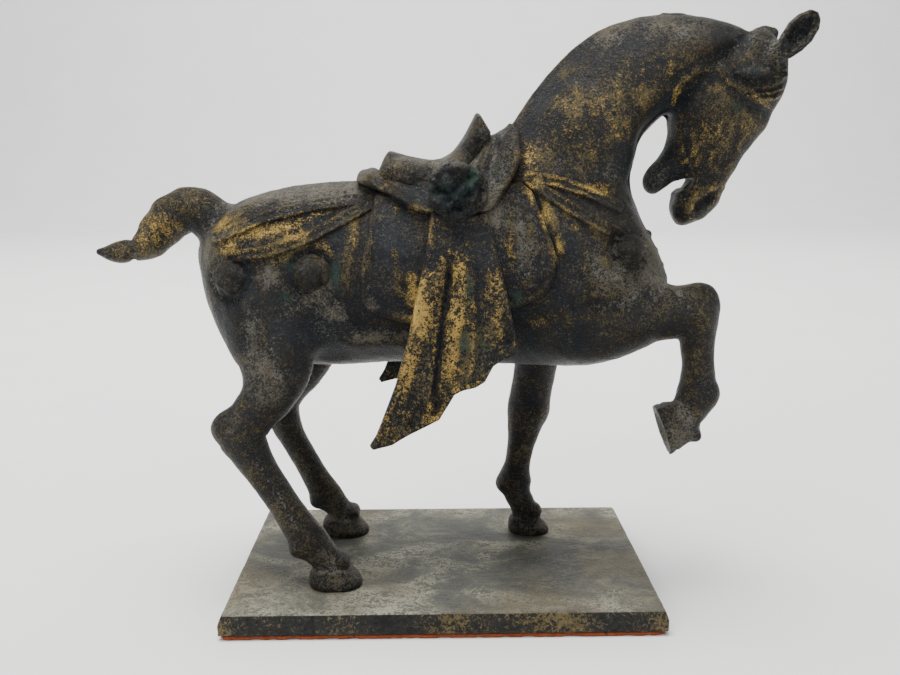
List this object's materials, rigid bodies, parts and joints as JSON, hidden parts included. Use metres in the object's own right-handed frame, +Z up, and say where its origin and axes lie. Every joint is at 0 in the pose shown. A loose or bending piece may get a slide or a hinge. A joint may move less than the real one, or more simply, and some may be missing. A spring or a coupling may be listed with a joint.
{
  "type": "bronze horse statue",
  "caption": "Prancing bronze horse with saddle and draped cloths, one foreleg raised, cast in hollow sections and screwed to a rectangular plate with a felt underside.",
  "frame": {"origin": "centre of the underside of the felt, on the surface that the statue stands on", "axes": "+Z up, +X towards the horse's head along the plate's long side, +Y towards the horse's left side"},
  "size_m": [0.2148, 0.0852, 0.1762],
  "materials": {
    "horse_bronze": "dark brown-black patina, satin, with fine gilt rub on raised places, dust-grey bloom on top faces and verdigris specks in recesses",
    "saddle_bronze": "smooth blue-black patina, semi-gloss, with worn gilt edges",
    "cloth_bronze": "rough gilt, broken by dark pits and greenish valleys",
    "harness_bronze": "dark brown patina with gilt rubbed through along raised edges",
    "plate_bronze": "brushed black-brown patina, dusty olive-grey top, gilt speckle on the front edge",
    "felt": "orange-red felt",
    "steel": "plain machine screws"
  },
  "bodies": {
    "root": {"base_felt": "felt", "base_plate": "plate_bronze", "breast_bosses": "harness_bronze", "crupper_bosses": "harness_bronze", "head_casting": "horse_bronze", "hoof_screws": "steel", "left_breast_strap": "harness_bronze", "left_cloth_knot": "cloth_bronze", "left_crupper_strap": "harness_bronze", "left_ear": "horse_bronze", "left_foreleg": "horse_bronze", "left_hind_leg": "horse_bronze", "left_mud_flap": "saddle_bronze", "left_saddle_cloth": "cloth_bronze", "neck_casting": "horse_bronze", "right_breast_strap": "harness_bronze", "right_cloth_knot": "cloth_bronze", "right_crupper_strap": "harness_bronze", "right_ear": "horse_bronze", "right_foreleg": "horse_bronze", "right_hind_leg": "horse_bronze", "right_mud_flap": "saddle_bronze", "right_saddle_cloth": "cloth_bronze", "saddle_blanket": "saddle_bronze", "saddle_seat": "saddle_bronze", "tail": "horse_bronze", "trunk_left_shell": "horse_bronze", "trunk_right_shell": "horse_bronze"}
  },
  "joints": []
}
